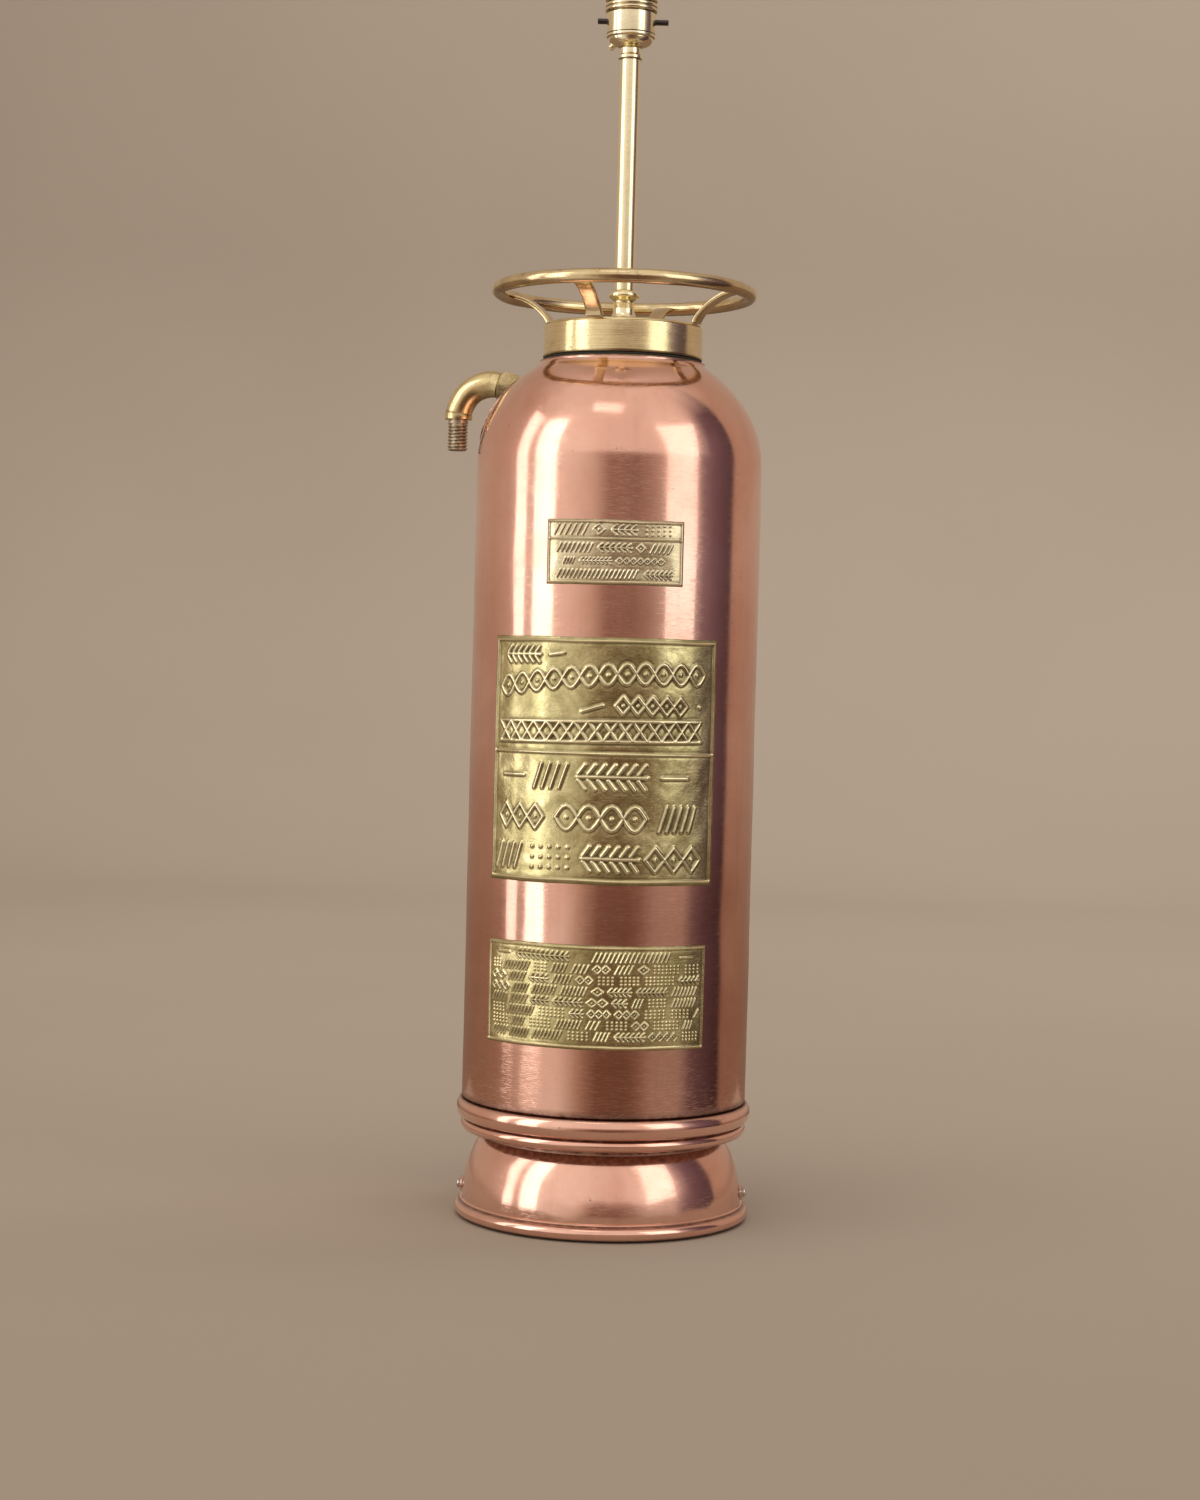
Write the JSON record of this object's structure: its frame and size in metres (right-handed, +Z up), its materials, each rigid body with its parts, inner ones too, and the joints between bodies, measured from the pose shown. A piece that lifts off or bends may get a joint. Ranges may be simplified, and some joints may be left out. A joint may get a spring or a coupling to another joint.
{
  "type": "fire extinguisher table lamp",
  "caption": "Antique copper fire extinguisher with a brass screw cap, hand ring and side outlet, fitted with a brass stem and bayonet lampholder as a table lamp.",
  "frame": {"origin": "centre of the felt pad's underside, on the tank's axis, where the lamp stands", "axes": "+Z up the tank's axis, -Y to the front with the plates, +X to the right, outlet on the left (-X) side"},
  "size_m": [0.2046, 0.1846, 0.789],
  "materials": {
    "copper": "polished copper with fine scratches, dents and warm tarnish",
    "cap_brass": "lathe-turned, lightly polished brass",
    "ring_brass": "darker, hand-worn brass",
    "outlet_brass": "cast brass, polished on top, tarnished underneath",
    "plate_brass": "embossed sheet brass with dark tarnish in the recesses",
    "lamp_brass": "new, bright polished brass",
    "spigot_steel": "dark threaded steel",
    "screw_steel": "bright plated steel",
    "rubber": "matt black rubber",
    "bakelite": "black moulded plastic",
    "insulator": "cream moulded insulator",
    "wood": "plain stained wood",
    "felt": "green felt"
  },
  "bodies": {
    "tank": {"tank_shell": "copper", "tank_bottom": "copper", "foot_band": "copper", "foot_skirt": "copper", "base_disc": "wood", "felt_pad": "felt", "foot_screw_left": "screw_steel", "foot_screw_right": "screw_steel", "foot_washer_left": "copper", "foot_washer_right": "copper", "cable_grommet": "rubber", "neck_ring": "cap_brass", "plate_small": "plate_brass", "plate_main": "plate_brass", "plate_directions": "plate_brass", "outlet_saddle": "copper", "outlet_collar": "outlet_brass", "outlet_elbow": "outlet_brass", "outlet_spigot": "spigot_steel", "outlet_strainer": "outlet_brass"},
    "gasket": {"cap_gasket": "rubber"},
    "cap": {"screw_cap": "cap_brass", "cap_leg_front": "ring_brass", "cap_leg_right": "ring_brass", "cap_leg_rear": "ring_brass", "cap_leg_left": "ring_brass", "hand_ring": "ring_brass", "stem_base": "lamp_brass", "stem_tube": "lamp_brass", "stem_washer": "lamp_brass", "threaded_rod": "lamp_brass", "lock_washer": "screw_steel", "lock_nut": "lamp_brass", "lampholder_dome": "lamp_brass", "earth_screw": "lamp_brass", "lampholder_housing": "lamp_brass", "insulator_block": "insulator", "contact_spring_left": "screw_steel", "contact_spring_right": "screw_steel"},
    "push_bar": {"switch_push_bar": "bakelite"},
    "shade_ring_lower": {"shade_ring_lower": "lamp_brass"},
    "shade_ring_upper": {"shade_ring_upper": "lamp_brass"},
    "plunger_left": {"contact_plunger_left": "lamp_brass"},
    "plunger_right": {"contact_plunger_right": "lamp_brass"}
  },
  "joints": [
    {"name": "cap_lift", "type": "slide", "parent": "tank", "child": "gasket", "axis": [0, 0, 1], "range_m": [0, 0.0161]},
    {"name": "cap_turn", "type": "hinge", "parent": "gasket", "child": "cap", "pos_m": [0, 0, 0.547], "axis": [0, 0, 1], "range_deg": [0, 1800]},
    {"name": "switch_push", "type": "slide", "parent": "cap", "child": "push_bar", "axis": [1, 0, 0], "range_m": [-0.0025, 0]},
    {"name": "shade_ring_lower_travel", "type": "slide", "parent": "cap", "child": "shade_ring_lower", "axis": [0, 0, 1], "range_m": [0, 0.006]},
    {"name": "shade_ring_upper_travel", "type": "slide", "parent": "shade_ring_lower", "child": "shade_ring_upper", "axis": [0, 0, 1], "range_m": [0, 0.012]},
    {"name": "plunger_left_press", "type": "slide", "parent": "cap", "child": "plunger_left", "axis": [0, 0, 1], "range_m": [-0.0025, 0], "stiffness_N_per_m": 600, "springref_m": 0.003, "deforming": ["contact_spring_left"]},
    {"name": "plunger_right_press", "type": "slide", "parent": "cap", "child": "plunger_right", "axis": [0, 0, 1], "range_m": [-0.0025, 0], "stiffness_N_per_m": 600, "springref_m": 0.003, "deforming": ["contact_spring_right"]}
  ],
  "couplings": [
    {"joint": "cap_lift", "follows": "cap_turn", "m_per_rad": 0.0005093}
  ]
}
